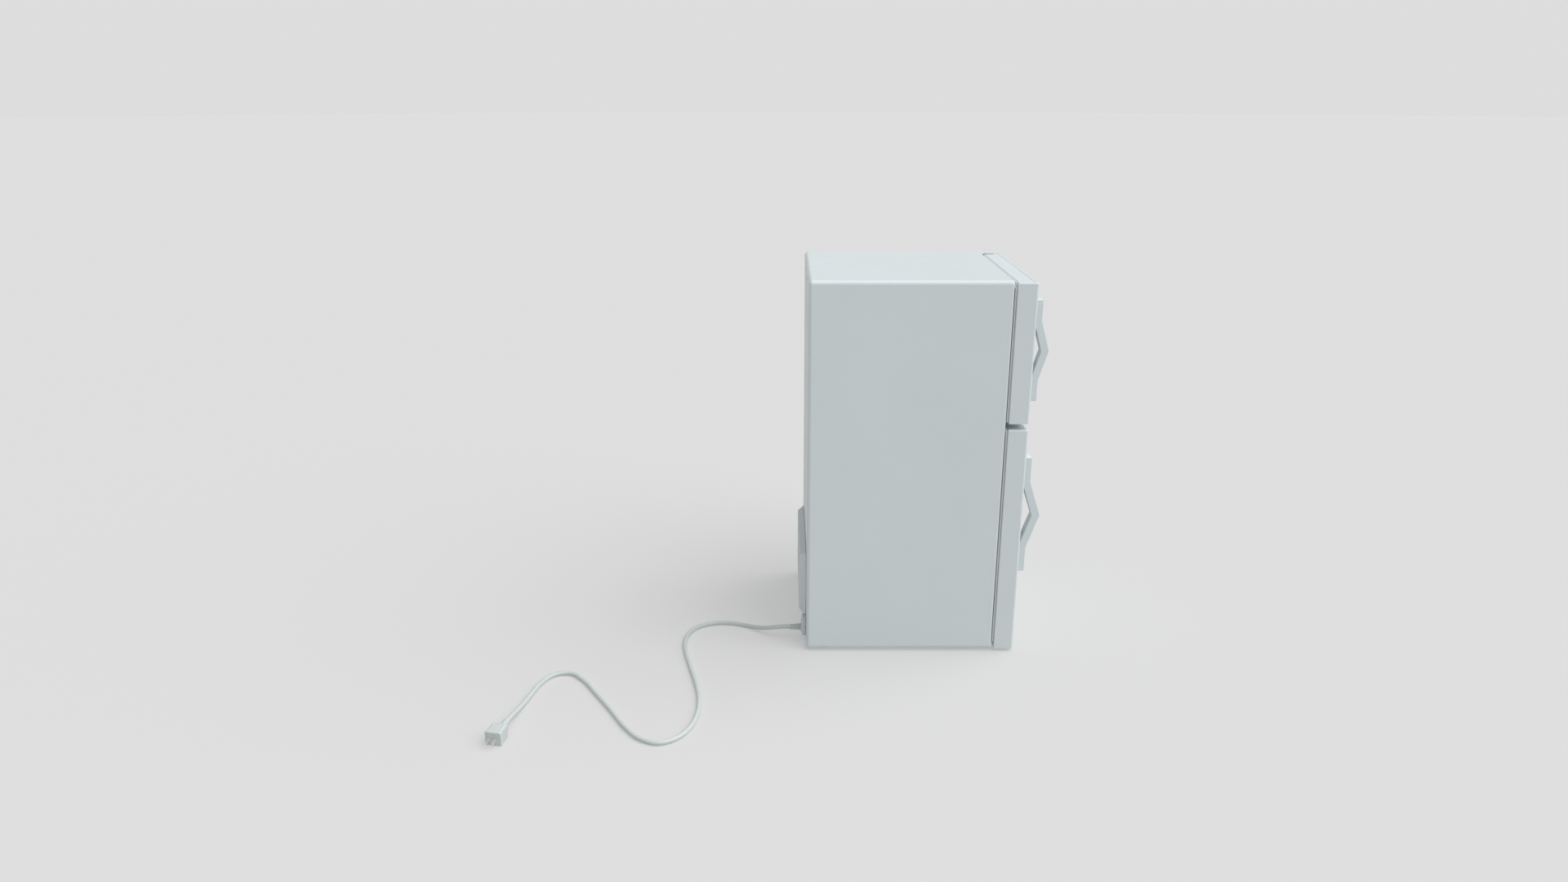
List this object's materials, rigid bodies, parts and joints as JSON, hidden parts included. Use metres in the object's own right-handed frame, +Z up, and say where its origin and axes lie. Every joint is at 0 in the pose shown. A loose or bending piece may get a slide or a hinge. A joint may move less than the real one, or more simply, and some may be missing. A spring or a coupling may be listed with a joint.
{
  "type": "mini fridge",
  "caption": "Compact two-door refrigerator with a top freezer, right-hand hinges, chevron pull handles, a covered compressor bay and a mains lead ending in a plug.",
  "frame": {"origin": "on the floor, under the middle of the object's box without the lead and plug", "axes": "+Z up, front (doors) towards -Y, hinges on +X"},
  "size_m": [0.8223, 1.1579, 0.856],
  "materials": {
    "painted_steel": "semi-gloss cool-white enamel with a light orange peel",
    "door_trim_plastic": "satin moulded plastic in the cabinet's colour",
    "liner_plastic": "vacuum-formed polystyrene, soft gloss",
    "insulation_foam": "foamed-in-place polyurethane",
    "gasket_vinyl": "soft magnetic vinyl, matt",
    "clear_plastic": "clear polystyrene, slightly blue",
    "shelf_glass": "tempered glass with green edges",
    "coated_wire": "white coated steel wire",
    "zinc_steel": "zinc-plated stamped steel",
    "black_plastic": "black moulded plastic",
    "black_rubber": "black rubber",
    "compressor_paint": "semi-gloss black paint",
    "copper_tube": "drawn copper, slightly dulled",
    "evaporator_aluminium": "rolled aluminium",
    "cord_vinyl": "pale grey-white flexible vinyl, satin",
    "nickel_blade": "nickel-plated brass"
  },
  "bodies": {
    "cabinet": {"outer_shell": "painted_steel", "back_panel": "painted_steel", "base_pan": "painted_steel", "mullion_rail": "painted_steel", "compressor_cover": "painted_steel", "top_hinge": "painted_steel", "cord_gland": "door_trim_plastic", "freezer_liner": "liner_plastic", "fridge_liner": "liner_plastic", "thermostat_housing": "liner_plastic", "cabinet_foam": "insulation_foam", "lamp_lens": "clear_plastic", "crisper_cover": "shelf_glass", "middle_hinge": "zinc_steel", "bottom_hinge": "zinc_steel", "rear_left_foot": "black_plastic", "rear_right_foot": "black_plastic", "start_relay_box": "black_plastic", "drip_tray": "black_plastic", "compressor_grommet_front_left": "black_rubber", "compressor_grommet_front_right": "black_rubber", "compressor_grommet_rear_left": "black_rubber", "compressor_grommet_rear_right": "black_rubber", "compressor": "compressor_paint", "suction_line": "copper_tube", "discharge_line": "copper_tube", "evaporator_plate": "evaporator_aluminium", "power_cord": "cord_vinyl", "cord_strain_relief": "cord_vinyl", "plug_body": "cord_vinyl", "plug_blade_left": "nickel_blade", "plug_blade_right": "nickel_blade"},
    "freezer_door": {"freezer_door_skin": "painted_steel", "freezer_door_top_cap": "door_trim_plastic", "freezer_door_bottom_cap": "door_trim_plastic", "freezer_door_foam": "insulation_foam", "freezer_door_liner": "liner_plastic", "freezer_door_gasket": "gasket_vinyl", "freezer_door_handle": "door_trim_plastic"},
    "fridge_door": {"fridge_door_skin": "painted_steel", "fridge_door_top_cap": "door_trim_plastic", "fridge_door_bottom_cap": "door_trim_plastic", "fridge_door_foam": "insulation_foam", "fridge_door_liner": "liner_plastic", "fridge_door_gasket": "gasket_vinyl", "fridge_door_handle": "door_trim_plastic"},
    "freezer_door_bin": {"freezer_door_bin": "clear_plastic"},
    "fridge_door_top_bin": {"fridge_door_top_bin": "clear_plastic"},
    "fridge_door_middle_bin": {"fridge_door_middle_bin": "clear_plastic"},
    "fridge_door_bottle_bin": {"fridge_door_bottle_bin": "clear_plastic"},
    "freezer_shelf": {"freezer_shelf": "coated_wire"},
    "glass_shelf": {"glass_shelf": "shelf_glass", "glass_shelf_trim": "liner_plastic"},
    "crisper_drawer": {"crisper_drawer": "clear_plastic"},
    "thermostat_knob": {"thermostat_knob": "door_trim_plastic"},
    "light_switch_button": {"light_switch_button": "liner_plastic"},
    "front_left_foot": {"front_left_foot": "black_plastic"},
    "front_right_foot": {"front_right_foot": "black_plastic"}
  },
  "joints": [
    {"name": "freezer_door_hinge", "type": "hinge", "parent": "cabinet", "child": "freezer_door", "pos_m": [0.2, -0.1998, 0.54], "axis": [0, 0, 1], "range_deg": [0, 125]},
    {"name": "fridge_door_hinge", "type": "hinge", "parent": "cabinet", "child": "fridge_door", "pos_m": [0.2, -0.1998, 0.54], "axis": [0, 0, 1], "range_deg": [0, 125]},
    {"name": "freezer_door_bin_lift", "type": "slide", "parent": "freezer_door", "child": "freezer_door_bin", "axis": [0, 0, 1], "range_m": [0, 0.02]},
    {"name": "fridge_door_top_bin_lift", "type": "slide", "parent": "fridge_door", "child": "fridge_door_top_bin", "axis": [0, 0, 1], "range_m": [0, 0.02]},
    {"name": "fridge_door_middle_bin_lift", "type": "slide", "parent": "fridge_door", "child": "fridge_door_middle_bin", "axis": [0, 0, 1], "range_m": [0, 0.025]},
    {"name": "fridge_door_bottle_bin_lift", "type": "slide", "parent": "fridge_door", "child": "fridge_door_bottle_bin", "axis": [0, 0, 1], "range_m": [0, 0.025]},
    {"name": "freezer_shelf_slide", "type": "slide", "parent": "cabinet", "child": "freezer_shelf", "axis": [0, -1, 0], "range_m": [0, 0.045]},
    {"name": "glass_shelf_slide", "type": "slide", "parent": "cabinet", "child": "glass_shelf", "axis": [0, -1, 0], "range_m": [0, 0.06]},
    {"name": "crisper_drawer_slide", "type": "slide", "parent": "cabinet", "child": "crisper_drawer", "axis": [0, -1, 0], "range_m": [0, 0.025]},
    {"name": "thermostat_knob_turn", "type": "hinge", "parent": "cabinet", "child": "thermostat_knob", "pos_m": [0.146, -0.044, 0.473], "axis": [-1, 0, 0], "range_deg": [0, 270]},
    {"name": "light_switch_press", "type": "slide", "parent": "cabinet", "child": "light_switch_button", "axis": [0, -1, 0], "range_m": [0, 0.005]},
    {"name": "front_left_foot_screw", "type": "hinge", "parent": "cabinet", "child": "front_left_foot", "pos_m": [-0.18, -0.1018, 0], "axis": [0, 0, 1], "continuous": true},
    {"name": "front_right_foot_screw", "type": "hinge", "parent": "cabinet", "child": "front_right_foot", "pos_m": [0.18, -0.1018, 0], "axis": [0, 0, 1], "continuous": true}
  ],
  "couplings": [
    {"joint": "light_switch_press", "follows": "fridge_door_hinge", "m_per_rad": 0.0022}
  ]
}
